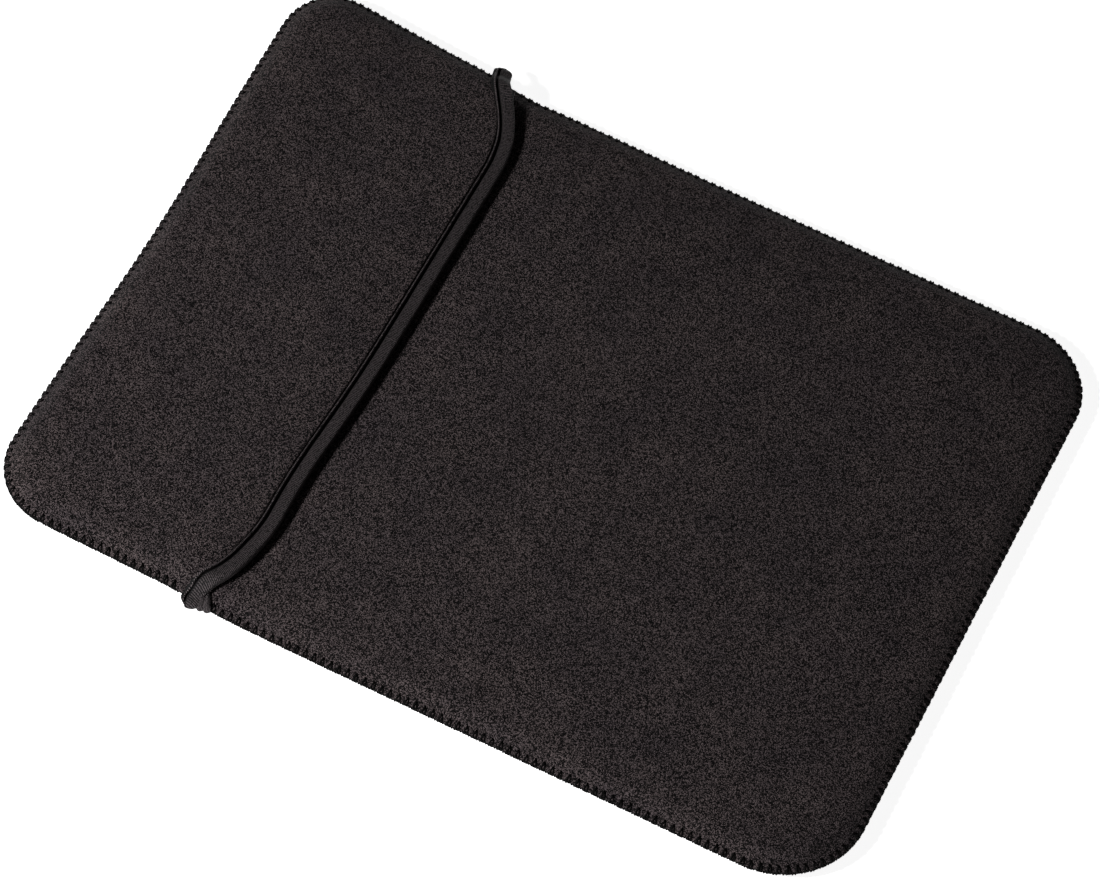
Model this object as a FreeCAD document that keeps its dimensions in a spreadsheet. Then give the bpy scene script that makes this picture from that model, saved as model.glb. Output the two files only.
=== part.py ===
"""Laptop sleeve: three knit-faced foam panels, two folded tapes and the threads that hold them.

The sleeve lies on its back panel. +X runs from the hood's closed end to the pouch's closed end,
+Y across the sleeve and +Z up. The origin is on the resting face, under the middle of the sleeve.
"""
import FreeCAD, Part
import math
import os
import re

import Sketcher
from FreeCAD import Placement, Rotation, Vector

# Driving dimensions in millimetres and degrees: alias, value, meaning.
SIZES = (
    ("outer_length", 400.0, "closed end to closed end"),
    ("outer_width", 300.0, "side seam to side seam"),
    ("pouch_corner", 36.0, "corner radius at the pouch's closed end"),
    ("hood_corner", 27.0, "corner radius at the hood's closed end"),
    ("knit", 0.5, "one jersey knit layer"),
    ("wall", 3.0, "knit, foam and lining together"),
    ("seam_height", 7.5, "side seams above the resting face"),
    ("pouch_height", 15.0, "top of the front panel"),
    ("hood_height", 19.9, "top of the hood"),
    ("hood_gap", 0.3, "between the hood's rim and the back panel's rim"),
    ("edge_round", 7.0, "roll of the panels down to the seam"),
    ("mouth_at", -89.0, "front panel's free edge, along X"),
    ("lip_at", -75.5, "hood's free edge at the middle, along X"),
    ("lip_straight", 99.5, "half length of the lip's straight middle"),
    ("lip_round", 73.5, "radius of the lip's ends, which run back to the side seams"),
    ("tape_thick", 0.5, "one leg of a folded tape"),
    ("tape_wide", 8.5, "tape's fold to its cut edge"),
    ("stitch_in", 7.3, "topstitch row, from the tape's fold"),
    ("stitch_turn", 38.0, "degrees that a lip row follows each round end"),
    ("stitch_half", 141.0, "half length of the mouth's rows"),
    ("thread_radius", 0.15, "sewing thread"),
    ("seam_bite", 4.2, "overlock seam's width from the edge"),
    ("needle_in", 3.6, "overlock needle row, from the edge"),
    ("looper_thick", 0.3, "looped threads lying on the edge"),
    ("hood_side", -109.6, "the hood's edge seam ends here, along X"),
    ("pouch_side", -79.5, "the pouch's edge seam starts here, along X"),
    ("overrun", 6.0, "cutting blocks reach this far past the panels"),
)
SIZE = {alias: value for alias, value, _ in SIZES}

doc = FreeCAD.newDocument("laptop_sleeve")
sheet = doc.addObject("Spreadsheet::Sheet", "sizes")
for row, (alias, value, meaning) in enumerate(SIZES, start=1):
    sheet.set(f"A{row}", alias)
    sheet.set(f"B{row}", str(value))
    sheet.set(f"C{row}", meaning)
    sheet.setAlias(f"B{row}", alias)
doc.recompute()


def bound(expression):
    """The expression with its aliases written so that any object of the document reads them."""
    return re.sub(r"[a-z_]+", lambda word: f"sizes.{word.group()}" if word.group() in SIZE
                  else word.group(), expression)


def worth(expression):
    """The expression's number, to draw a shape where it will be solved to."""
    return float(sheet.evalExpression(expression))


def drive(thing, **sizes):
    """Binds an object's properties to the sheet; x, y and z are its place."""
    for name, expression in sizes.items():
        path = f".Placement.Base.{name}" if name in ("x", "y", "z") else name
        thing.setExpression(path, bound(expression))
    return thing


def measure(sketch, kind, places, expression):
    """Adds a size to a sketch and binds it to the sheet."""
    index = sketch.addConstraint(Sketcher.Constraint(kind, *places, worth(expression)))
    sketch.setExpression(f"Constraints[{index}]", bound(expression))


def draw_outline(sketch, inset):
    """The sleeve's plan outline moved inwards: four sides joined by round corners."""
    half_x, half_y = worth(f"outer_length / 2 - {inset}"), worth(f"outer_width / 2 - {inset}")
    pouch, hood = worth(f"pouch_corner - {inset}"), worth(f"hood_corner - {inset}")
    centres = [Vector(half_x - pouch, pouch - half_y, 0), Vector(half_x - pouch, half_y - pouch, 0),
               Vector(hood - half_x, half_y - hood, 0), Vector(hood - half_x, hood - half_y, 0)]
    radii = [pouch, pouch, hood, hood]
    outward = [Vector(0, -1, 0), Vector(1, 0, 0), Vector(0, 1, 0), Vector(-1, 0, 0)]
    for side in range(4):
        start = centres[side - 1] + outward[side] * radii[side - 1]
        end = centres[side] + outward[side] * radii[side]
        sketch.addGeometry(Part.LineSegment(start, end))
        circle = Part.Circle(centres[side], Vector(0, 0, 1), radii[side])
        turn = (side - 1) * math.pi / 2
        sketch.addGeometry(Part.ArcOfCircle(circle, turn, turn + math.pi / 2))
    for line in (0, 2, 4, 6):
        sketch.addConstraint(Sketcher.Constraint("Tangent", line, 2, line + 1, 1))
        sketch.addConstraint(Sketcher.Constraint("Tangent", line + 1, 2, (line + 2) % 8, 1))
        level = "Horizontal" if line in (0, 4) else "Vertical"
        sketch.addConstraint(Sketcher.Constraint(level, line))
    sketch.addConstraint(Sketcher.Constraint("Equal", 1, 3))
    sketch.addConstraint(Sketcher.Constraint("Equal", 5, 7))
    measure(sketch, "Radius", (1,), f"pouch_corner - {inset}")
    measure(sketch, "Radius", (5,), f"hood_corner - {inset}")
    measure(sketch, "DistanceX", (-1, 1, 2, 1), f"outer_length / 2 - {inset}")
    measure(sketch, "DistanceX", (6, 1, -1, 1), f"outer_length / 2 - {inset}")
    measure(sketch, "DistanceY", (-1, 1, 4, 1), f"outer_width / 2 - {inset}")
    measure(sketch, "DistanceY", (0, 1, -1, 1), f"outer_width / 2 - {inset}")


def slab(name, base, depth, inset, downwards=False):
    """A body of the sleeve's outline, padded from its base."""
    body = doc.addObject("PartDesign::Body", name)
    sketch = body.newObject("Sketcher::SketchObject", f"{name}_outline")
    floor = next(o for o in body.Origin.OriginFeatures if o.Role == "XY_Plane")
    sketch.AttachmentSupport = [(floor, "")]
    sketch.MapMode = "FlatFace"
    sketch.AttachmentOffset = Placement(Vector(0, 0, worth(base)), Rotation())
    sketch.setExpression("AttachmentOffset.Base.z", bound(base))
    draw_outline(sketch, inset)
    pad = body.newObject("PartDesign::Pad", f"{name}_pad")
    pad.Profile = sketch
    pad.Length = worth(depth)
    pad.setExpression("Length", bound(depth))
    pad.Reversed = downwards
    body.Tip = pad
    doc.recompute()
    return body


def pillow(name, rim, flat, inset):
    """A slab from its rim to its flat face, with the edge of the flat face rolled over.

    The inset moves the walls and the flat face inwards together, so the difference of two
    pillows is one layer of even thickness.
    """
    downwards = worth(flat) < worth(rim)
    depth = f"{rim} - {flat} - ({inset})" if downwards else f"{flat} - {rim} - ({inset})"
    body = slab(name, rim, depth, f"({inset})", downwards)
    pad = body.Tip
    far = pad.Shape.BoundBox.ZMin if downwards else pad.Shape.BoundBox.ZMax
    rolled = [f"Edge{number}" for number, edge in enumerate(pad.Shape.Edges, start=1)
              if all(abs(corner.Z - far) < 1e-6 for corner in edge.Vertexes)]
    roll = body.newObject("PartDesign::Fillet", f"{name}_roll")
    roll.Base = (pad, rolled)
    roll.Radius = worth(f"edge_round - ({inset})")
    roll.setExpression("Radius", bound(f"edge_round - ({inset})"))
    body.Tip = roll
    return body


def box(name, x, y, z, length, width, height):
    return drive(doc.addObject("Part::Box", name), x=x, y=y, z=z,
                 Length=length, Width=width, Height=height)


def cylinder(name, x, y, z, radius, height):
    return drive(doc.addObject("Part::Cylinder", name), x=x, y=y, z=z,
                 Radius=radius, Height=height)


def combine(kind, name, *shapes):
    """A Part boolean: Cut takes the second from the first, and the others join or share them."""
    result = doc.addObject(f"Part::{kind}", name)
    if kind == "Cut":
        result.Base, result.Tool = shapes
    else:
        result.Shapes = list(shapes)
    return result


def pouch_zone(name, start):
    """Everything from start along X to past the pouch's closed end."""
    return box(name, start, "-outer_width / 2 - overrun", "-overrun",
               f"outer_length / 2 + overrun - ({start})", "outer_width + 2 * overrun",
               "hood_height + 2 * overrun")


def hood_zone(name, back):
    """Everything on the hood's side of its lip line, moved towards the closed end by back.

    The lip is straight in the middle, and two large rounds carry it back to the side seams.
    """
    left, tall = "-outer_length / 2 - overrun", "hood_height + 2 * overrun"
    round_at, radius = "lip_at - lip_round", f"lip_round - ({back})"
    pieces = [box(f"{name}_middle", left, "-lip_straight", "-overrun",
                  f"lip_at - ({back}) - ({left})", "2 * lip_straight", tall),
              box(f"{name}_sides", left, "-outer_width / 2 - overrun", "-overrun",
                  f"{round_at} - ({left})", "outer_width + 2 * overrun", tall)]
    for end, sign in (("near", "-"), ("far", "")):
        pieces.append(cylinder(f"{name}_{end}", round_at, f"{sign}lip_straight", "-overrun",
                               radius, tall))
    return combine("MultiFuse", name, *pieces)


nodes = []


def finish_node(shape, label):
    shape.Label = label
    nodes.append(shape)
    return shape


# The panels: each is a stack of three layers, as shells one inside another.
LAYER_STARTS = (("face_knit", "0"), ("foam_core", "knit"), ("lining_knit", "wall - knit"))
PANELS = {
    "back": ("seam_height", "0", None),
    "front": ("seam_height", "pouch_height", pouch_zone("front_zone", "mouth_at")),
    "hood": ("(seam_height + hood_gap)", "hood_height",
             hood_zone("hood_panel_zone", "tape_thick")),
}
pillows = {}
for panel, (rim, flat, zone) in PANELS.items():
    levels = ["-tape_thick", "-looper_thick", *[start for _, start in LAYER_STARTS],
              "wall", "wall + tape_thick"]
    for step, inset in enumerate(levels):
        pillows[panel, inset] = pillow(f"{panel}_pillow_{step}", rim, f"({flat})", inset)
    stops = [start for _, start in LAYER_STARTS][1:] + ["wall"]
    for (layer, start), stop in zip(LAYER_STARTS, stops):
        shell = combine("Cut", f"{panel}_{layer}_shell", pillows[panel, start],
                        pillows[panel, stop])
        if zone:
            shell = combine("MultiCommon", f"{panel}_{layer}_cut", shell, zone)
        finish_node(shell, f"{panel}_{layer}")


def folded_tape(label, panel, tape_zone, panel_zone):
    """A tape folded over a panel's free edge: an outer shell without the panel inside it."""
    around = combine("Cut", f"{label}_around", pillows[panel, "-tape_thick"],
                     pillows[panel, "wall + tape_thick"])
    strip = combine("MultiCommon", f"{label}_strip", around, tape_zone)
    inside = combine("Cut", f"{label}_wall", pillows[panel, "0"], pillows[panel, "wall"])
    held = combine("MultiCommon", f"{label}_held", inside, panel_zone)
    return finish_node(combine("Cut", label, strip, held), label)


mouth_strip = box("mouth_strip", "mouth_at - tape_thick", "-outer_width / 2 - overrun", "-overrun",
                  "tape_wide", "outer_width + 2 * overrun", "hood_height + 2 * overrun")
folded_tape("mouth_binding", "front", mouth_strip, PANELS["front"][2])
lip_strip = combine("Cut", "lip_strip", hood_zone("lip_edge", "0"),
                    hood_zone("lip_tape_edge", "tape_wide"))
folded_tape("hood_lip_binding", "hood", lip_strip, PANELS["hood"][2])


def straight_thread(name, x, y, z, length, along):
    """A straight run of thread along X or Y from its start."""
    run = cylinder(name, x, y, z, "thread_radius", length)
    turned = Rotation(Vector(0, 1, 0), 90) if along == "x" else Rotation(Vector(1, 0, 0), -90)
    run.Placement = Placement(Vector(worth(x), worth(y), worth(z)), turned)
    return drive(run, x=x, y=y, z=z)


def round_thread(name, x, y, z, radius, start_angle, turn):
    """A level arc of thread about a centre."""
    arc = doc.addObject("Part::Torus", name)
    arc.Placement = Placement(Vector(worth(x), worth(y), worth(z)),
                              Rotation(Vector(0, 0, 1), start_angle))
    return drive(arc, x=x, y=y, z=z, Radius1=radius, Radius2="thread_radius", Angle3=turn)


def lip_row(label, height):
    """A row of topstitching along the hood's lip: straight, and round towards each side."""
    radius = "lip_round - stitch_in"
    parts = [straight_thread(f"{label}_middle", "lip_at - stitch_in", "-lip_straight", height,
                             "2 * lip_straight", "y"),
             round_thread(f"{label}_far", "lip_at - lip_round", "lip_straight", height,
                          radius, 0, "stitch_turn"),
             round_thread(f"{label}_near", "lip_at - lip_round", "-lip_straight", height,
                          radius, -SIZE["stitch_turn"], "stitch_turn")]
    return finish_node(combine("MultiFuse", label, *parts), label)


def mouth_row(label, height):
    """A row of topstitching along the front panel's mouth."""
    run = straight_thread(label, "mouth_at - tape_thick + stitch_in", "-stitch_half", height,
                          "2 * stitch_half", "y")
    return finish_node(run, label)


ABOVE, BELOW = "tape_thick + thread_radius", "wall + tape_thick + thread_radius"
mouth_row("mouth_needle_thread", f"pouch_height + {ABOVE}")
mouth_row("mouth_looper_thread", f"pouch_height - ({BELOW})")
lip_row("hood_lip_needle_thread", f"hood_height + {ABOVE}")
lip_row("hood_lip_looper_thread", f"hood_height - ({BELOW})")

# The overlock seam: looped threads lie over the edge, and a needle row runs beside them.
seam_core = slab("seam_core", "-overrun", "hood_height + 2 * overrun", "seam_bite")


def looper(label, panel, zone=None):
    """The looped thread over one panel's share of the edge, as a thin band on its roll."""
    band = combine("Cut", f"{label}_over", pillows[panel, "-looper_thick"], pillows[panel, "0"])
    band = combine("Cut", f"{label}_band", band, seam_core)
    return finish_node(combine("MultiCommon", label, band, zone) if zone else band, label)


def edge_row(label, flat, end, corner, towards):
    """The overlock's needle thread round one closed end: side, corner, end, corner, side."""
    lean = math.asin((SIZE["edge_round"] - SIZE["needle_in"]) / SIZE["edge_round"])
    reach = "(edge_round + looper_thick + 2 * thread_radius)"
    inset = f"(edge_round - {reach} * {math.sin(lean):.6f})"
    height = f"{flat} - edge_round + {reach} * {math.cos(lean):.6f}"
    side_y, far_x = f"(outer_width / 2 - {inset})", f"(outer_length / 2 - {inset})"
    corner_x, corner_y = f"(outer_length / 2 - {corner})", f"(outer_width / 2 - {corner})"
    run = f"{corner_x} - ({end})" if towards > 0 else f"{end} + {corner_x}"
    start = end if towards > 0 else f"-{corner_x}"
    radius = f"{corner} - {inset}"
    first_turn = (-90, 0) if towards > 0 else (180, 90)
    parts = []
    for place, sign, turn in (("near", "-", first_turn[0]), ("far", "", first_turn[1])):
        parts.append(straight_thread(f"{label}_{place}_side", start, f"{sign}{side_y}", height,
                                     run, "x"))
        flip = "" if towards > 0 else "-"
        parts.append(round_thread(f"{label}_{place}_corner", f"{flip}{corner_x}",
                                  f"{sign}{corner_y}", height, radius, turn, "90"))
    flip = "" if towards > 0 else "-"
    parts.append(straight_thread(f"{label}_end", f"{flip}{far_x}", f"-{corner_y}", height,
                                 f"2 * {corner_y}", "y"))
    return finish_node(combine("MultiFuse", label, *parts), label)


looper("pouch_seam_upper_looper", "front", pouch_zone("pouch_seam_zone", "pouch_side"))
hood_seam_zone = box("hood_seam_zone", "-outer_length / 2 - overrun",
                     "-outer_width / 2 - overrun", "-overrun",
                     "hood_side + outer_length / 2 + overrun", "outer_width + 2 * overrun",
                     "hood_height + 2 * overrun")
looper("hood_seam_upper_looper", "hood", hood_seam_zone)
looper("seam_lower_looper", "back")
edge_row("pouch_seam_needle_thread", "pouch_height", "pouch_side", "pouch_corner", 1)
edge_row("hood_seam_needle_thread", "hood_height", "hood_side", "hood_corner", -1)

doc.recompute()
failed = [o.Name for o in doc.Objects if {"Invalid", "Error"} & set(o.State)]
if failed:
    raise RuntimeError(f"these objects failed: {failed}")
os.makedirs("parts", exist_ok=True)
for node in nodes:
    shape = node.Shape
    if shape.isNull() or not shape.isValid() or not shape.Solids:
        raise RuntimeError(f"{node.Label} has no valid solid")
    shape.exportStep(f"parts/{node.Label}.step")
    extent = shape.optimalBoundingBox(False, False)
    print(f"{node.Label}: {len(shape.Solids)} solid, {shape.Volume / 1000:.2f} cm3, "
          f"x {extent.XMin:.2f} to {extent.XMax:.2f}, y {extent.YMin:.2f} to {extent.YMax:.2f}, "
          f"z {extent.ZMin:.2f} to {extent.ZMax:.2f}")
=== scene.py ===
# Looks of a slip-in laptop sleeve: knit-faced foam panels, folded tapes and overlock stitches.
# Lengths are metres. +X runs from the hood's closed end to the pouch's, and +Z is up.
import math

import bpy
import numpy as np
from mathutils import Matrix, Vector


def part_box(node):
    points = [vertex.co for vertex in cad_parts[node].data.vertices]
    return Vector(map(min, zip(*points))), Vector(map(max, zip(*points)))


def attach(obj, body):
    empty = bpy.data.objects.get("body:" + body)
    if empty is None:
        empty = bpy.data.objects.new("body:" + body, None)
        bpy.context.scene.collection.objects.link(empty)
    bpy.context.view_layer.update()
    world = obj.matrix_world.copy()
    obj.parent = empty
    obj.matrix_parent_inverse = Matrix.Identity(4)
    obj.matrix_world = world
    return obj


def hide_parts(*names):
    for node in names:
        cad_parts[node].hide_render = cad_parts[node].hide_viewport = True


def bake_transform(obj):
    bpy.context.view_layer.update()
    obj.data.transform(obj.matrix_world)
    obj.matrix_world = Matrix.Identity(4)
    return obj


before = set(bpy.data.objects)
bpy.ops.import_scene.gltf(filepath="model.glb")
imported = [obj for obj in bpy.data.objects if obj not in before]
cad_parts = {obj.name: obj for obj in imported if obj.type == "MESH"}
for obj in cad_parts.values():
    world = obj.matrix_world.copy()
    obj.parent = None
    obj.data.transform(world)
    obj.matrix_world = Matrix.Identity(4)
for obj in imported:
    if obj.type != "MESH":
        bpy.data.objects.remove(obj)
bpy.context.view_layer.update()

MM = 0.001
END, SIDE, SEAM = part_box("back_face_knit")[1]
MOUTH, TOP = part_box("front_face_knit")[0].x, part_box("front_face_knit")[1].z
LIP, HOOD_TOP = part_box("hood_lip_binding")[1].x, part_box("hood_face_knit")[1].z
WALL = 3 * MM                      # knit, foam and lining together
CORNERS = {(1, -1): 39 * MM, (1, 1): 34 * MM, (-1, -1): 29 * MM, (-1, 1): 26 * MM}
LIP_STRAIGHT, LIP_ROUND = 99.5 * MM, 73.5 * MM
RIM = 2.1 * MM                     # the cut edge that the overlock squeezes together
PITCH = 4 * MM                     # one overlock stitch
POUCH_SEAM_START, HOOD_SEAM_START = -86 * MM, -101.5 * MM
TAPE_WALL = 0.4 * MM
TAPE_CAP = 1.8 * MM                # a tape closes round over this length at its end
TAPE_RISE = {-1: 1.2, 1: 4.4}      # millimetres over the near and the far side seam
PUFF_FRAMES, PUFF_PRESSURE, PUFF_MOST = 20, 4.0, 1.2 * MM


# ---- the sleeve's form -----------------------------------------------------------------------

def ease(part):
    part = np.clip(part, 0, 1)
    return part * part * (3 - 2 * part)


def corner_radius(x, y):
    far = np.asarray(y) > 0
    return np.where(np.asarray(x) > 0, np.where(far, CORNERS[1, 1], CORNERS[1, -1]),
                    np.where(far, CORNERS[-1, 1], CORNERS[-1, -1]))


def edge_distance(x, y):
    """How far points lie in from the sleeve's round-cornered outline."""
    radius = corner_radius(x, y)
    in_x, in_y = END - np.abs(x), SIDE - np.abs(y)
    rounded = radius - np.hypot(radius - in_x, radius - in_y)
    return np.where((in_x < radius) & (in_y < radius), rounded, np.minimum(in_x, in_y))


def roll(inset):
    """The share of its full height that a panel has at a distance in from its seam."""
    return 1 - 0.86 * np.exp(-(np.maximum(inset, 0) / (5.6 * MM)) ** 1.5)


def seam_height(x):
    """The side seams sit higher along the hood, where three panels are sewn together."""
    return SEAM + 3 * MM * ease((-80 * MM - x) / (30 * MM))


def front_top(x):
    return TOP - 1 * MM * np.exp(-np.maximum(x - MOUTH, 0) / (30 * MM))


def hood_top(x):
    return HOOD_TOP - 0.4 * MM - 1.8 * MM * ease((LIP - 10 * MM - x) / (70 * MM))


def back_bottom(x):
    return 0 * x


def lip_line(y):
    """The lip's fold along X: straight, then round, then nearly square on to the side seams; the
    near half hangs back."""
    past = np.maximum(np.abs(y) - LIP_STRAIGHT, 0)
    last = np.maximum(past - 44 * MM, 0)
    past = np.minimum(past, 44 * MM) + 6.5 * MM * (1 - np.exp(-last / (6.5 * MM)))
    rounded = LIP_ROUND - np.sqrt(LIP_ROUND ** 2 - past ** 2)
    hangs = 3.2 * MM * np.exp(-((y + 85 * MM) / (45 * MM)) ** 2)
    ends = 1.7 * MM * ease((np.abs(y) - SIDE + 32 * MM) / (24 * MM))
    return LIP - rounded - hangs - ends * np.sign(y)


def settle(x, y):
    """The hood is stretched a little wider than the pouch, leans to the far side and its closed
    end is drawn in at the middle; the pouch is spread a little beside its mouth."""
    part = np.clip((-80 * MM - x) / (95 * MM), 0, 1.15)
    drawn_in = 2.8 * MM * np.exp(-((y + 2 * MM) / (70 * MM)) ** 2)
    spread = (0.7 * MM * ease(y / SIDE) * np.exp(-((x + 60 * MM) / (40 * MM)) ** 2)
              + 0.8 * MM * ease(-y / SIDE) * np.exp(-((x + 112 * MM) / (32 * MM)) ** 2))
    return (x + drawn_in * ease((-110 * MM - x) / (85 * MM)),
            y + part * (5.8 * MM + 2.6 * MM * y / SIDE) + spread)


def seam_path():
    """The outline from the near side's middle, anticlockwise: length along, place, way inwards."""
    points, inwards = [(0, -SIDE)], [(0, 1)]
    for corner, first in (((1, -1), -90), ((1, 1), 0), ((-1, 1), 90), ((-1, -1), 180)):
        radius = CORNERS[corner]
        for turn in np.radians(np.linspace(first, first + 90, 46)):
            way = np.array((math.cos(turn), math.sin(turn)))
            points.append(np.array(corner) * (END - radius, SIDE - radius) + radius * way)
            inwards.append(-way)
    points, inwards = np.array([*points, points[0]]), np.array([*inwards, inwards[0]])
    lengths = np.hypot(*np.diff(points, axis=0).T)
    return np.concatenate([[0], np.cumsum(lengths)]), points, inwards


SEAM_ALONG, SEAM_POINTS, SEAM_INWARDS = seam_path()
ROUND = SEAM_ALONG[-1]


def far_side(x):
    """The length along the seam path of a place on the far side."""
    first = np.argmax(SEAM_POINTS[:, 1] >= SIDE - 1e-6)
    return SEAM_ALONG[first] + SEAM_POINTS[first, 0] - x


def closed_end():
    """The length along the seam path of the middle of the hood's closed end."""
    first = np.argmax(SEAM_POINTS[:, 0] <= 1e-6 - END)
    return SEAM_ALONG[first] + SEAM_POINTS[first, 1]


def rim_profile(across, rise, drop):
    """In-from-edge distance and height over the seam for a place across the edge.

    Across is measured inwards over the top panel from its rim. Below zero it passes the rim and
    goes in under the back panel.
    """
    under = -across - RIM
    inset = np.where(across >= 0, across, np.where(under > 0, under, 0))
    top_rim, back_rim = rise * roll(0), -drop * roll(0)
    share = np.clip(-across / RIM, 0, 1)
    height = np.where(across >= 0, rise * roll(across),
                      np.where(under > 0, -drop * roll(under),
                               top_rim + (back_rim - top_rim) * share))
    return inset, height


def on_seam(along, across, lift, top):
    """Places along the seam, across its edge and lifted off it."""
    along = np.mod(along, ROUND)
    x, y = (np.interp(along, SEAM_ALONG, SEAM_POINTS[:, i]) for i in (0, 1))
    way_x, way_y = (np.interp(along, SEAM_ALONG, SEAM_INWARDS[:, i]) for i in (0, 1))
    seam = seam_height(x)
    rise, drop = top(x) - seam, seam
    inset, height = rim_profile(across, rise, drop)
    before, after = (rim_profile(across + step, rise, drop) for step in (-0.9 * MM, 0.9 * MM))
    slope_in, slope_up = after[0] - before[0], after[1] - before[1]
    size = np.hypot(slope_in, slope_up)
    inset = inset - slope_up / size * lift
    height = height + slope_in / size * lift
    x, y = settle(x + way_x * inset, y + way_y * inset)
    return np.column_stack([x, y, seam + height])


def lip_path(half):
    """The lip's fold from its middle to past one side seam: length along, place, way inwards."""
    y = half * np.linspace(0, SIDE + 6 * MM, 400)
    points = np.column_stack([lip_line(y), y])
    ways = np.gradient(points, axis=0)
    ways /= np.hypot(*ways.T)[:, None]
    inwards = np.column_stack([-half * ways[:, 1], half * ways[:, 0]])
    steps = np.hypot(*np.diff(points, axis=0).T)
    return np.concatenate([[0], np.cumsum(steps)]), points, inwards


LIPS = {half: lip_path(half) for half in (-1, 1)}


def draped_height(x, y, top):
    """A panel's face, continued down past its side seam."""
    inset = edge_distance(x, y)
    seam = seam_height(x)
    return seam + (top(x) - seam) * roll(inset) + 0.3 * np.minimum(inset, 0)


def mouth_line(y):
    """The mouth's fold along X: its ends are pulled in under the lip."""
    return MOUTH - 0.5 * MM - 6.5 * MM * ease((np.abs(y) - SIDE + 34 * MM) / (26 * MM))


def squeezed(x, y):
    """How much of its thickness a folded edge keeps beside the side seam."""
    return 0.62 + 0.38 * ease(edge_distance(x, y) / (8 * MM))


def on_lip(along, inward, lift, half):
    """Places along the lip from its middle, in from its fold and lifted off the hood's face."""
    lengths, points, inwards = LIPS[half]
    x, y = (np.interp(along, lengths, points[:, i]) for i in (0, 1))
    way_x, way_y = (np.interp(along, lengths, inwards[:, i]) for i in (0, 1))
    x, y = x + way_x * inward, y + way_y * inward
    over_seam = ease((np.abs(y) - SIDE + 15 * MM) / (12 * MM)) * TAPE_RISE[half] * MM
    z = draped_height(x, y, hood_top) + over_seam + lift * squeezed(x, y)
    x, y = settle(x, y)
    return np.column_stack([x, y, z])


def on_mouth(along, inward, lift):
    """Places along the mouth's edge, in from its fold and lifted off the front panel's face."""
    x, y = mouth_line(along) + inward, along
    z = draped_height(np.maximum(x, MOUTH), y, front_top) + lift * squeezed(x, y)
    x, y = settle(x, y)
    return np.column_stack([x, y, z])


# ---- tools -----------------------------------------------------------------------------------

def grid(name, columns, rows):
    """A flat grid; returns it with each vertex's column and row number."""
    bpy.ops.object.select_all(action="DESELECT")
    bpy.ops.mesh.primitive_grid_add(x_subdivisions=columns - 1, y_subdivisions=rows - 1, size=1)
    piece = bpy.context.object
    piece.name = piece.data.name = name
    flat = read(piece)
    column = np.rint((flat[:, 0] + 0.5) * (columns - 1)).astype(int)
    row = np.rint((flat[:, 1] + 0.5) * (rows - 1)).astype(int)
    return piece, column, row


def read(piece):
    places = np.empty(len(piece.data.vertices) * 3)
    piece.data.vertices.foreach_get("co", places)
    return places.reshape(-1, 3)


def write(piece, places):
    piece.data.vertices.foreach_set("co", np.ascontiguousarray(places, dtype=float).ravel())
    piece.data.update()


def pick(piece):
    bpy.ops.object.select_all(action="DESELECT")
    piece.select_set(True)
    bpy.context.view_layer.objects.active = piece


def apply_all(piece):
    pick(piece)
    for modifier in list(piece.modifiers):
        bpy.ops.object.modifier_apply(modifier=modifier.name)


def face_outwards(piece):
    pick(piece)
    bpy.ops.object.mode_set(mode="EDIT")
    bpy.ops.mesh.select_all(action="SELECT")
    bpy.ops.mesh.normals_make_consistent(inside=False)
    bpy.ops.object.mode_set(mode="OBJECT")


def face_up(piece, on_top):
    """Turns an open sheet's faces so that those on its top look upwards."""
    on_top = np.flatnonzero(on_top)
    if sum(piece.data.vertices[int(index)].normal.z for index in on_top) < 0:
        piece.data.flip_normals()


def weight(piece, name, weights):
    group = piece.vertex_groups.new(name=name)
    for index, value in enumerate(weights):
        group.add([index], float(value), "REPLACE")


def smooth(piece):
    subdivision = piece.modifiers.new("smooth", "SUBSURF")
    subdivision.levels = subdivision.render_levels = 1
    apply_all(piece)


def thicken(piece, thickness, group=""):
    """Gives a sheet its thickness, inwards from its face."""
    solid = piece.modifiers.new("wall", "SOLIDIFY")
    solid.thickness = thickness
    solid.offset = -1
    if group:
        solid.vertex_group = group
        solid.thickness_vertex_group = 0.0
    apply_all(piece)


def finish(piece, material, body, nodes):
    """Paints a piece and hides the nodes that it stands for; a sleeve piece is put on its body, a
    hood piece only has its place baked into its mesh.
    """
    pick(piece)
    bpy.ops.object.shade_smooth_by_angle(angle=math.radians(42))
    piece.data.materials.clear()
    piece.data.materials.append(material)
    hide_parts(*nodes)
    if body == "hood":
        far = read(piece)[:, 1].mean() > 0
        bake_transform(piece)
    else:
        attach(piece, body)


# ---- materials -------------------------------------------------------------------------------

def new_material(name, roughness, specular, sheen=0.0):
    material = bpy.data.materials.new(name)
    material.use_nodes = True
    shader = material.node_tree.nodes["Principled BSDF"]
    shader.inputs["Roughness"].default_value = roughness
    shader.inputs["Specular IOR Level"].default_value = specular
    shader.inputs["Sheen Weight"].default_value = sheen
    shader.inputs["Sheen Roughness"].default_value = 0.5
    return material, shader


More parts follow.
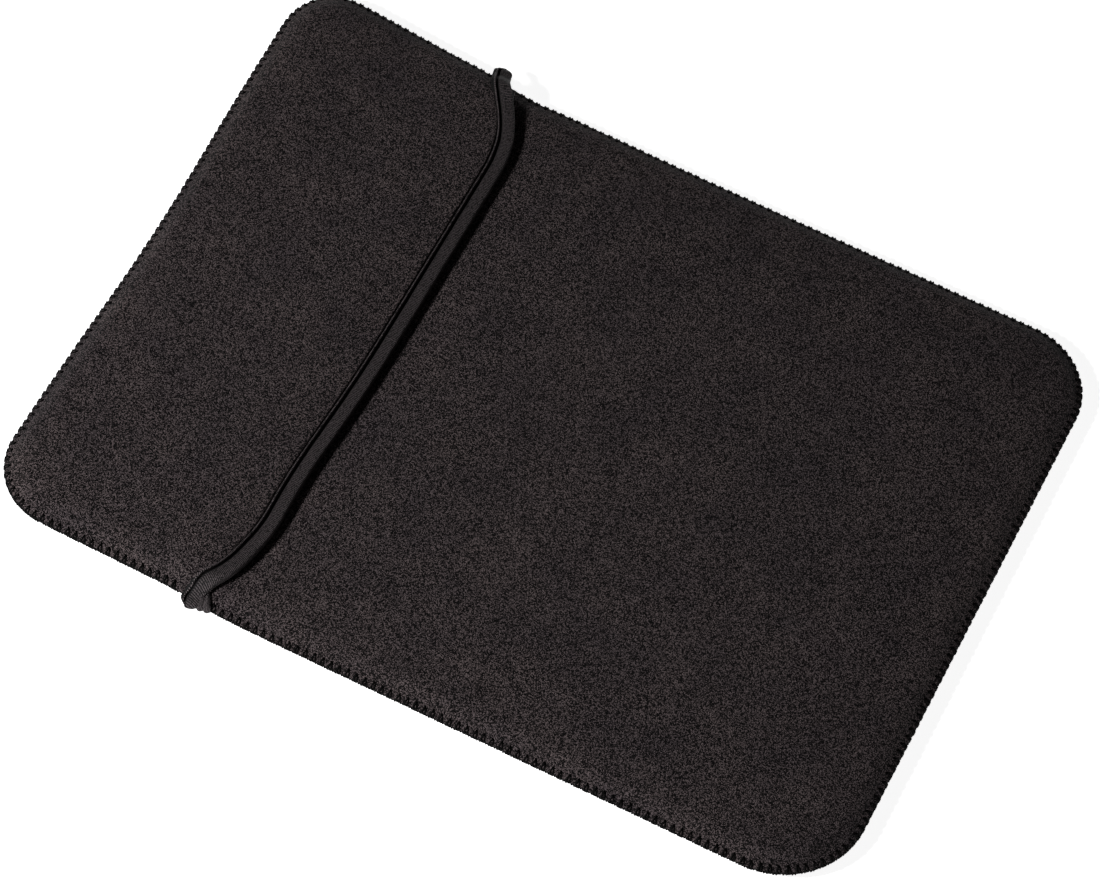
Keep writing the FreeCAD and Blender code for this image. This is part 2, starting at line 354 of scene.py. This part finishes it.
class Nodes:
    """Short names for the nodes that a fabric needs."""

    def __init__(self, material):
        self.tree = material.node_tree

    def add(self, kind, inputs=None, **settings):
        node = self.tree.nodes.new(kind)
        for name, value in settings.items():
            setattr(node, name, value)
        for name, value in (inputs or {}).items():
            if isinstance(value, bpy.types.NodeSocket):
                self.tree.links.new(value, node.inputs[name])
            else:
                node.inputs[name].default_value = value
        return node

    def noise(self, where, scale, detail=2.0, rough=0.5):
        return self.add("ShaderNodeTexNoise", {"Vector": where, "Scale": scale, "Detail": detail,
                                               "Roughness": rough}).outputs["Fac"]

    def cells(self, where, scale):
        return self.add("ShaderNodeTexVoronoi", {"Vector": where, "Scale": scale})

    def math(self, operation, first, second=0.0, third=0.0):
        return self.add("ShaderNodeMath", {0: first, 1: second, 2: third},
                        operation=operation).outputs[0]

    def ramp(self, factor, stops):
        node = self.add("ShaderNodeValToRGB", {"Fac": factor})
        node.color_ramp.elements[0].position, node.color_ramp.elements[0].color = stops[0]
        node.color_ramp.elements[1].position, node.color_ramp.elements[1].color = stops[-1]
        for position, colour in stops[1:-1]:
            node.color_ramp.elements.new(position).color = colour
        return node.outputs["Color"]

    def mix(self, factor, first, second, blend="MIX"):
        node = self.add("ShaderNodeMix", data_type="RGBA", blend_type=blend)
        for socket, value in ((node.inputs[0], factor), (node.inputs[6], first),
                              (node.inputs[7], second)):
            if isinstance(value, bpy.types.NodeSocket):
                self.tree.links.new(value, socket)
            else:
                socket.default_value = value
        return node.outputs[2]

    def bump(self, height, depth):
        return self.add("ShaderNodeBump", {"Height": height, "Distance": depth,
                                           "Strength": 1.0}).outputs["Normal"]


def knit_material():
    """Fine charcoal jersey: small loops, mixed lighter and darker fibres, a little lint."""
    material, shader = new_material("charcoal_jersey", 0.9, 0.12, sheen=0.03)
    nodes = Nodes(material)
    where = nodes.add("ShaderNodeTexCoord").outputs["Object"]
    loops = nodes.cells(where, 2600)
    tufts = nodes.add("ShaderNodeSeparateColor", {"Color": loops.outputs["Color"]})
    grain = nodes.noise(where, 2300, 1.5, 0.6)
    cloudy = nodes.noise(where, 45, 3.0, 0.55)
    speck = nodes.math("MULTIPLY_ADD", grain, 0.5,
                       nodes.math("MULTIPLY", tufts.outputs["Red"], 0.8))
    tone = nodes.ramp(speck, [(0.24, (0.0002, 0.0001, 0.0002, 1)),
                              (0.66, (0.0045, 0.0034, 0.0037, 1)),
                              (0.95, (0.1150, 0.0920, 0.0950, 1))])
    patchy = nodes.ramp(cloudy, [(0.3, (0.82, 0.82, 0.84, 1)), (0.7, (1.16, 1.14, 1.10, 1))])
    tone = nodes.mix(1.0, tone, patchy, "MULTIPLY")
    lint = nodes.cells(where, 90)
    spot = nodes.ramp(lint.outputs["Distance"], [(0.0, (1, 1, 1, 1)), (0.035, (0, 0, 0, 1))])
    tone = nodes.mix(nodes.math("MULTIPLY", spot, 0.5), tone, (0.20, 0.19, 0.18, 1))
    nodes.tree.links.new(tone, shader.inputs["Base Color"])
    height = nodes.math("SUBTRACT", grain, nodes.math("MULTIPLY", loops.outputs["Distance"], 0.5))
    nodes.tree.links.new(nodes.bump(height, 0.35 * MM), shader.inputs["Normal"])
    return material


# Painted shade over a tape's section, in its crease and groove: the row there, and the shade from
# that row on.
PAINTED_SHADE_ROWS = ((3.6, 0.03), (4.6, 1), (7.4, 1), (8.8, 0.03), (12.2, 0.03), (15.0, 0.45), (19.0, 0.66))
LAST_ROW = 31


def tape_material(length, name, with_painted_shade=True):
    """Cross-ribbed tape: ribs run over the fold, at right angles to its length."""
    material, shader = new_material(name, 0.7, 0.2, sheen=0.03)
    nodes = Nodes(material)
    strip = nodes.add("ShaderNodeUVMap").outputs["UV"]
    where = nodes.add("ShaderNodeTexCoord").outputs["Object"]
    split = nodes.add("ShaderNodeSeparateXYZ", {"Vector": strip})
    turns = length / (0.78 * MM) * 2 * math.pi
    ribs = nodes.math("SINE", nodes.math("MULTIPLY", split.outputs["X"], turns))
    ribs = nodes.math("MULTIPLY_ADD", ribs, 0.5, 0.5)
    yarns = nodes.noise(where, 1700, 1.5, 0.6)
    height = nodes.math("MULTIPLY_ADD", ribs, 0.26, nodes.math("MULTIPLY", yarns, 0.74))
    tone = nodes.ramp(height, [(0.42, (0.0004, 0.0003, 0.0004, 1)),
                               (0.51, (0.0065, 0.0052, 0.0056, 1)),
                               (0.60, (0.140, 0.115, 0.120, 1))])
    # Painted shade: rows in the crease beside the cut strip and in the stitched groove go nearly
    # black, and the tape's side by the groove is darker.
    painted_shade = nodes.ramp(split.outputs["Y"] if with_painted_shade else 1.0,
                         [(row / LAST_ROW, (shade, shade, shade, 1)) for row, shade in PAINTED_SHADE_ROWS])
    tone = nodes.mix(1.0, tone, painted_shade, "MULTIPLY")
    nodes.tree.links.new(tone, shader.inputs["Base Color"])
    nodes.tree.links.new(nodes.bump(height, 0.3 * MM), shader.inputs["Normal"])
    return material


def thread_material(name, dark, light, roughness, specular):
    """Spun thread, with its twist showing as fine lines."""
    material, shader = new_material(name, roughness, specular)
    nodes = Nodes(material)
    where = nodes.add("ShaderNodeTexCoord").outputs["Object"]
    twist = nodes.noise(where, 2600, 1.0)
    tone = nodes.ramp(twist, [(0.35, (dark * 1.05, dark, dark, 1)),
                              (0.7, (light * 1.1, light, light, 1))])
    nodes.tree.links.new(tone, shader.inputs["Base Color"])
    nodes.tree.links.new(nodes.bump(twist, 0.12 * MM), shader.inputs["Normal"])
    return material


JERSEY = knit_material()
LOOPED_THREAD = thread_material("looped_thread", 0.0008, 0.006, 0.75, 0.08)
# Near black: the needle thread together with the painted shade of the holes it sinks into.
NEEDLE_THREAD_AND_HOLE_SHADE = thread_material("pulled_in_thread", 0.0004, 0.0012, 0.9, 0.03)

# ---- panels ----------------------------------------------------------------------------------

SEWN_ROWS = np.array([-1.05, -0.5, 0, 0.9, 1.9, 3.0, 4.3, 5.9, 7.8, 10.2, 13.2, 17, 22]) * MM
FREE_ROWS = np.array([0.9, 3, 5.5, 7.4, 8.1, 8.4, 8.75, 9.1, 9.6, 11, 14, 19, 25]) * MM
MESH_STEP = 5.5 * MM


def rows_over(length, start_rows, end_rows):
    """Places along a panel, close together where it is sewn or bound."""
    first, last = start_rows[-1], length - end_rows[-1]
    between = np.linspace(first, last, 2 + round((last - first) / MESH_STEP))[1:-1]
    return np.concatenate([start_rows, between, length - end_rows[::-1]])


def round_corners(x, y, in_x, in_y):
    """Turns a panel's square corners into the outline's round ones, ring by ring."""
    across, further = np.minimum(in_x, in_y), np.maximum(in_x, in_y)
    radius = corner_radius(x, y)
    in_corner = further < radius
    turn = np.where(in_corner, (radius - further) / (radius - across), 0) * math.pi / 4
    on_long_side = in_y <= in_x
    out_x = np.where(on_long_side, np.sin(turn), np.cos(turn))
    out_y = np.where(on_long_side, np.cos(turn), np.sin(turn))
    reach = radius - np.maximum(across, 0)
    return (np.where(in_corner, np.sign(x) * (END - radius + reach * out_x), x),
            np.where(in_corner, np.sign(y) * (SIDE - radius + reach * out_y), y))


def sewn_panel(name, x_rows, start_x, sewn_ends, face, upwards=True, lip=False, mouth=False):
    """A padded panel's outer face on a grid, from side seam to side seam."""
    y_rows = rows_over(2 * SIDE, SEWN_ROWS, SEWN_ROWS)
    piece, column, row = grid(name, len(x_rows), len(y_rows))
    along, over = x_rows[column], y_rows[row]
    nowhere = 10 * END
    whole = END - start_x
    in_x = np.minimum(along if "start" in sewn_ends else nowhere,
                      whole - along if "end" in sewn_ends else nowhere)
    in_y = np.minimum(over, 2 * SIDE - over)
    x = np.clip(start_x + along, -END, END)
    y = np.clip(over - SIDE, -SIDE, SIDE)
    if lip:
        x = x + np.clip((along - 45 * MM) / (80 * MM), 0, 1) * (lip_line(y) - LIP)
    if mouth:
        x = x + np.clip(1 - along / (60 * MM), 0, 1) * (mouth_line(y) - MOUTH + 0.5 * MM)
    across = np.minimum(in_x, in_y)
    tucked_in = lip & (across < -0.8 * MM)     # the hood's rim goes in under the seam
    x, y = round_corners(x, y, in_x, in_y)
    seam = seam_height(x)
    full = face(x) - seam
    rim = full * roll(0) * np.clip(1 + across / (RIM / 2), 0, 1)
    z = seam + np.where(across >= 0, full * roll(across), rim) - 1.8 * MM * tucked_in
    unbound = np.full(len(x), nowhere)
    if lip:
        unbound = lip_line(y) - x
        z -= 1.7 * MM * ease((9.0 * MM - unbound) / (0.7 * MM)) * ease(across / (1.5 * MM))
    elif "start" not in sewn_ends:
        unbound = along
    x, y = settle(x, y)
    x, y = x + 0.5 * MM * tucked_in * (in_x <= in_y), y - 0.5 * MM * tucked_in * np.sign(y)
    write(piece, np.column_stack([x, y, z]))
    if not upwards:
        piece.data.flip_normals()
    weight(piece, "held", ((across < 9 * MM) | (unbound < 12 * MM)).astype(float))
    weight(piece, "thickness", 0.25 + 0.75 * ease(across / (9 * MM)))
    return piece


def puff(piece):
    """Presses the panel out as its foam does, by cloth simulation, held at its edges."""
    before = read(piece)
    pick(piece)
    cloth = piece.modifiers.new("puff", "CLOTH")
    settings = cloth.settings
    settings.vertex_group_mass = "held"
    settings.mass = 0.3
    settings.tension_stiffness = settings.compression_stiffness = 25
    settings.bending_stiffness = 8
    settings.use_pressure = True
    settings.uniform_pressure_force = PUFF_PRESSURE
    settings.effector_weights.gravity = 0
    cloth.point_cache.frame_start, cloth.point_cache.frame_end = 1, PUFF_FRAMES
    for step in range(1, PUFF_FRAMES + 1):
        bpy.context.scene.frame_set(step)
    seen = piece.evaluated_get(bpy.context.evaluated_depsgraph_get())
    after = np.empty(len(before) * 3)
    seen.data.vertices.foreach_get("co", after)
    moved = after.reshape(-1, 3) - before
    piece.modifiers.remove(cloth)
    bpy.context.scene.frame_set(1)
    length = np.maximum(np.linalg.norm(moved, axis=1), 1e-9)
    kept = PUFF_MOST * np.tanh(length / PUFF_MOST) / length
    write(piece, before + moved * kept[:, None])


back = sewn_panel("back_panel", rows_over(2 * END, SEWN_ROWS, SEWN_ROWS), -END,
                  ("start", "end"), back_bottom, upwards=False)
front = sewn_panel("front_panel", rows_over(END - MOUTH, FREE_ROWS, SEWN_ROWS), MOUTH,
                   ("end",), front_top, mouth=True)
hood = sewn_panel("hood_panel", rows_over(LIP + END, SEWN_ROWS, FREE_ROWS), -END,
                  ("start",), hood_top, lip=True)
for panel in (back, front, hood):
    if panel is not back:
        puff(panel)
    smooth(panel)
    thicken(panel, WALL, "thickness")


def split_at_middle(piece):
    """Cuts the hood into its near and far halves."""
    halves = []
    for name, drop in (("hood_panel_near", 1), ("hood_panel_far", -1)):
        half = piece.copy()
        half.data = piece.data.copy()
        bpy.context.scene.collection.objects.link(half)
        half.name = half.data.name = name
        pick(half)
        bpy.ops.object.mode_set(mode="EDIT")
        bpy.ops.mesh.select_all(action="SELECT")
        bpy.ops.mesh.bisect(plane_co=(0, 0, 0), plane_no=(0, drop, 0), clear_outer=True,
                            use_fill=True)
        bpy.ops.object.mode_set(mode="OBJECT")
        halves.append(half)
    bpy.data.objects.remove(piece)
    return halves


hood_near, hood_far = split_at_middle(hood)
for piece, nodes, body in (
        (back, ("back_face_knit", "back_foam_core", "back_lining_knit"), "sleeve"),
        (front, ("front_face_knit", "front_foam_core", "front_lining_knit"), "sleeve"),
        (hood_near, ("hood_face_knit", "hood_foam_core", "hood_lining_knit"), "hood"),
        (hood_far, ("hood_face_knit", "hood_foam_core", "hood_lining_knit"), "hood")):
    finish(piece, JERSEY, body, nodes)

# ---- tapes -----------------------------------------------------------------------------------

# A bound edge cut across: in from the fold, and up from the panel's face. It starts at the upper
# cut edge, which stands as a thin strip beside the stitched groove, and ends under the panel.
BOUND_SECTION = np.array([
    (9.3, -1.6), (8.8, -1.3), (8.2, -1.2), (7.95, -0.9), (7.9, 0.3), (7.8, 0.75), (7.45, 0.95),
    (7.15, 0.75), (7.05, 0.3), (6.95, -1.2), (6.8, -1.5), (6.2, -1.5), (6.05, -1.3),
    (5.9, -0.2), (5.75, 0.35), (5.3, 0.75), (4.3, 1.05), (3.0, 1.2), (1.9, 1.2), (0.9, 1.1),
    (0.35, 0.85), (0.05, 0.4), (0.0, -0.3), (0.0, -1.4), (0.1, -2.6), (0.5, -3.6), (1.3, -4.1),
    (2.6, -4.2), (4.2, -4.2), (6.3, -4.1), (7.2, -3.8), (8.0, -3.9),
]) * MM
TOP_ROW = 17                       # a row of the section that looks upwards
SECTION_MIDDLE = (3.2 * MM, -1.6 * MM)


def tape(name, start, reach, place, taper, caps, step=1.5 * MM):
    """A strip folded over an edge, narrowing and closing round at its capped ends."""
    count = 2 + round((reach - start) / step)
    piece, column, row = grid(name, count, len(BOUND_SECTION))
    along = start + (reach - start) * column / (count - 1)
    inward, lift = taper(along, *BOUND_SECTION[row].T)
    into_cap = np.maximum(
        np.clip((along - reach) / TAPE_CAP + 1, 0, 1) if "reach" in caps else 0,
        np.clip((start - along) / TAPE_CAP + 1, 0, 1) if "start" in caps else 0)
    close = np.sqrt(np.maximum(1 - into_cap ** 2, 0.01))
    middle_in, middle_up = SECTION_MIDDLE
    write(piece, place(along, middle_in + (inward - middle_in) * close,
                       middle_up + (lift - middle_up) * close))
    face_up(piece, row == TOP_ROW)
    smooth(piece)
    thicken(piece, TAPE_WALL)
    return piece


def lip_length(half, y):
    """The length along the lip from its middle to a distance from the sleeve's centre line."""
    lengths, points, _ = LIPS[half]
    return np.interp(y, np.abs(points[:, 1]), lengths)


def narrowing(total, length, keep):
    """A tape that is pinched narrower over its last stretch before a side seam."""
    def taper(along, inward, lift):
        part = ease((np.abs(along) - total + length) / length)
        return inward * (1 - (1 - keep) * part), lift
    return taper


for half, name, past, keep in ((-1, "near", 5.5, 0.88), (1, "far", 6.4, 0.95)):
    total, reach = lip_length(half, SIDE), lip_length(half, SIDE + past * MM)
    piece = tape(f"lip_tape_{name}", 0, reach,
                 lambda along, inward, lift, half=half: on_lip(along, inward, lift, half),
                 narrowing(total, 6 * MM, keep), ("reach",))
    finish(piece, tape_material(reach, f"lip_tape_{name}_ribs"), "hood",
           ("hood_lip_binding",))
reach = SIDE + 1 * MM
piece = tape("mouth_tape", -reach, reach, on_mouth, narrowing(SIDE, 14 * MM, 0.55),
             ("start", "reach"))
finish(piece, tape_material(2 * reach, "mouth_tape_ribs"), "sleeve",
       ("mouth_binding",))


def tuck(name, half, folds, centre, size, lower):
    """The tapes' ends gathered into a fan of small folds and sewn down over the side seam."""
    piece, column, row = grid(name, 49, 17)
    over, down = column / 48 - 0.5, row / 16
    stops = np.linspace(0, 1, 7)
    out = np.interp(down, stops, np.array([143, 146, 149, 151, 152.3, 152, 150.8]) * MM)
    up = np.interp(down, stops, np.array([13.2, 13.3, 12.7, 11.4, 9.2, 7.2, 6.0]) * MM)
    wide = np.interp(down, stops, np.array([3, 7, 10.5, 12.5, 13, 12, 10.5]) * MM)
    crown = np.sqrt(np.maximum(1 - (2 * over) ** 2, 0))
    fold = 0.9 * MM * np.abs(np.sin(folds * np.pi * (over + 0.5))) * np.clip(down * 4, 0, 1)
    falling = ease((down - 0.35) / 0.4)
    x = centre + 1.0 * MM * down + over * wide * size
    aslant = 1.8 * MM * (over + 0.1) * down
    y = half * (out - aslant + (fold + 1.0 * MM * (crown - 1)) * falling)
    z = up - lower + (fold + 1.6 * MM * (crown - 1)) * (1 - falling)
    x, y = settle(x, y)
    write(piece, np.column_stack([x, y, z]))
    face_outwards(piece)
    thicken(piece, TAPE_WALL)
    smooth(piece)
    finish(piece, TUCK_RIBS, "sleeve", ("mouth_binding",))


TUCK_RIBS = tape_material(14 * MM, "tuck_ribs", with_painted_shade=False)
tuck("tuck_near", -1, 3, -92.4 * MM, 0.8, 0.4 * MM)

# ---- stitches --------------------------------------------------------------------------------

def strand(name, route, widths):
    """One thread of a stitch as a short four-sided tube: points along, across and up, in
    millimetres."""
    bpy.ops.object.select_all(action="DESELECT")
    line = bpy.data.curves.new(name, "CURVE")
    line.dimensions = "3D"
    line.bevel_depth = MM
    line.bevel_resolution = 0
    line.use_fill_caps = True
    spline = line.splines.new("POLY")
    spline.points.add(len(route) - 1)
    for point, place, width in zip(spline.points, route, widths):
        point.co = (*(value * MM for value in place), 1)
        point.radius = width
    piece = bpy.data.objects.new(name, line)
    bpy.context.scene.collection.objects.link(piece)
    pick(piece)
    bpy.ops.object.convert(target="MESH")
    return bpy.context.object


def stitch(name, *strands):
    """One stitch of several strands."""
    parts = [strand(f"{name}_{number}", *one) for number, one in enumerate(strands)]
    bpy.ops.object.select_all(action="DESELECT")
    for part in parts:
        part.select_set(True)
    bpy.context.view_layer.objects.active = parts[0]
    if len(parts) > 1:
        bpy.ops.object.join()
    piece = bpy.context.object
    piece.name = piece.data.name = name
    return piece


def row_of(piece, start, stop, pitch, place, wander=0.12):
    """Repeats a stitch along a seam and lays every one on it, each a little different."""
    count = round((stop - start) / pitch)
    pitch = (stop - start) / count
    repeat = piece.modifiers.new("repeat", "ARRAY")
    repeat.count = count
    repeat.use_relative_offset = False
    repeat.use_constant_offset = True
    repeat.constant_offset_displace = (pitch, 0, 0)
    single = len(piece.data.vertices)
    apply_all(piece)
    places = read(piece)
    number = np.arange(len(places)) // single
    shift = np.random.default_rng(7).normal(0, wander * MM, (count, 3))
    places = places + shift[number] * (1, 1, 0.4)
    write(piece, place(places[:, 0] + start, places[:, 1], places[:, 2]))
    face_outwards(piece)
    return piece


# Strands of one overlock stitch. From the needle's hole, in from the rim, two strands spread over
# the squeezed edge and meet the thread that runs along it; two more close the loop underneath.
OVER_EDGE = ([(0, 1.8, -0.4), (-0.4, 1.3, 0.1), (-0.65, 0.6, 0.15), (-0.65, -0.1, 0.2),
              (0, -1.0, 0.1)], [0.34, 0.4, 0.42, 0.46, 0.55])
CROSSING = ([(0.1, 1.8, -0.4), (0.55, 1.2, 0.1), (0.75, 0.5, 0.15), (0.75, -0.1, 0.2),
             (0.1, -1.0, 0.1)], [0.34, 0.4, 0.42, 0.46, 0.55])
ALONG_EDGE = ([(-2.05, -1.0, -0.45), (-0.8, -1.05, 0.15), (0.8, -1.05, 0.15),
               (2.05, -1.0, -0.45)], [0.34, 0.62, 0.62, 0.34])
UNDER_EDGE = ([(0, -1.0, 0.05), (-0.65, -1.9, 0.15), (-0.7, -2.7, 0.1), (0, -3.6, -0.4)],
              [0.45, 0.42, 0.4, 0.34])
UNDER_CROSSING = ([(0.1, -1.0, 0.05), (0.75, -1.9, 0.15), (0.8, -2.7, 0.1), (0.1, -3.6, -0.4)],
                  [0.45, 0.42, 0.4, 0.34])
# The needle thread is a fat, near-black blob that also stands for the painted shade in its sunken
# hole.
NEEDLE = ([(-0.5, 2.2, -0.5), (-0.25, 2.0, -0.1), (0.25, 1.7, -0.1), (0.5, 1.5, -0.5)],
          [0.45, 0.66, 0.62, 0.36])


def seam_place(top):
    return lambda along, across, lift: on_seam(along, across, lift, top)


POUCH_RUN = (POUCH_SEAM_START, far_side(POUCH_SEAM_START - 6 * MM))
for name, strands, run, node in (
        ("pouch_over_edge_stitches", (OVER_EDGE, CROSSING, ALONG_EDGE), POUCH_RUN,
         "pouch_seam_upper_looper"),
        ("pouch_needle_stitches", (NEEDLE,), POUCH_RUN, "pouch_seam_needle_thread"),
        ("under_edge_stitches", (UNDER_EDGE, UNDER_CROSSING), (0, ROUND), "seam_lower_looper")):
    finish(row_of(stitch(name, *strands), *run, PITCH, seam_place(front_top)),
           NEEDLE_THREAD_AND_HOLE_SHADE if "needle" in name else LOOPED_THREAD, "sleeve", (node,))
for half, run in (("far", (far_side(HOOD_SEAM_START), closed_end())),
                  ("near", (closed_end(), ROUND + HOOD_SEAM_START))):
    for name, strands, node in (
            ("hood_over_edge_stitches", (OVER_EDGE, CROSSING, ALONG_EDGE),
             "hood_seam_upper_looper"),
            ("hood_needle_stitches", (NEEDLE,), "hood_seam_needle_thread")):
        finish(row_of(stitch(f"{name}_{half}", *strands), *run, PITCH, seam_place(hood_top)),
               NEEDLE_THREAD_AND_HOLE_SHADE if "needle" in name else LOOPED_THREAD, "hood", (node,))

TOPSTITCH = ([(-1.2, 0, -0.3), (-0.85, 0, 0.02), (0.85, 0, 0.02), (1.2, 0, -0.3)],
             [0.14, 0.18, 0.18, 0.14])
GROOVE, STITCH_PITCH = 6.4 * MM, 2.9 * MM
for layer, height in (("needle", -0.9 * MM), ("looper", -4.25 * MM)):
    for half, name in ((-1, "near"), (1, "far")):
        finish(row_of(stitch(f"lip_{layer}_stitches_{name}", TOPSTITCH), 1.5 * MM,
                      lip_length(half, SIDE - 8 * MM), STITCH_PITCH,
                      lambda along, across, lift, half=half, height=height:
                      on_lip(along, GROOVE + across, lift + height, half), 0.05),
               LOOPED_THREAD, "hood", (f"hood_lip_{layer}_thread",))
    finish(row_of(stitch(f"mouth_{layer}_stitches", TOPSTITCH), 12 * MM - SIDE,
                  SIDE - 12 * MM, STITCH_PITCH,
                  lambda along, across, lift, height=height:
                  on_mouth(along, GROOVE + across, lift + height), 0.05),
           LOOPED_THREAD, "sleeve", (f"mouth_{layer}_thread",))

# ---- floor, light and camera -----------------------------------------------------------------

bpy.ops.object.select_all(action="DESELECT")
bpy.ops.mesh.primitive_plane_add(size=8, location=(0, 0, -0.3 * MM))
floor = bpy.context.object
floor.name = "floor"
paper, paper_shader = new_material("white_paper", 0.9, 0.2)
paper_shader.inputs["Base Color"].default_value = (0.9, 0.9, 0.9, 1)
paper_shader.inputs["Emission Color"].default_value = (1, 1, 1, 1)
paper_shader.inputs["Emission Strength"].default_value = 0.9
floor.data.materials.append(paper)

world = bpy.data.worlds.new("studio")
bpy.context.scene.world = world
world.use_nodes = True
world.node_tree.nodes["Background"].inputs["Color"].default_value = (1, 1, 1, 1)
world.node_tree.nodes["Background"].inputs["Strength"].default_value = 0.015


def softbox(name, place, size, power):
    lamp = bpy.data.lights.new(name, "AREA")
    lamp.shape = "SQUARE"
    lamp.size = size
    lamp.energy = power
    box = bpy.data.objects.new(name, lamp)
    box.location = place
    box.rotation_euler = (-Vector(place)).to_track_quat("-Z", "Y").to_euler()
    bpy.context.scene.collection.objects.link(box)


softbox("key_softbox", (-0.66, -0.88, 1.0), 0.2, 20)
softbox("fill_softbox", (0.3, -0.6, 2.3), 1.0, 1)

TARGET = Vector((2.38 * MM, -5.47 * MM, 7.5 * MM))
AZIMUTH, ELEVATION, ROLL = (math.radians(turn) for turn in (18.76, 58.93, 8.59))
DISTANCE = 2.1659
lens = bpy.data.cameras.new("camera")
lens.lens = 163.6
lens.sensor_width = 36
camera = bpy.data.objects.new("camera", lens)
bpy.context.scene.collection.objects.link(camera)
camera.matrix_world = (Matrix.Translation(TARGET) @ Matrix.Rotation(AZIMUTH, 4, "Z")
                       @ Matrix.Rotation(math.pi / 2 - ELEVATION, 4, "X")
                       @ Matrix.Rotation(ROLL, 4, "Z")
                       @ Matrix.Translation((0, 0, DISTANCE)))
bpy.context.scene.camera = camera
bpy.context.scene.view_settings.view_transform = "Standard"
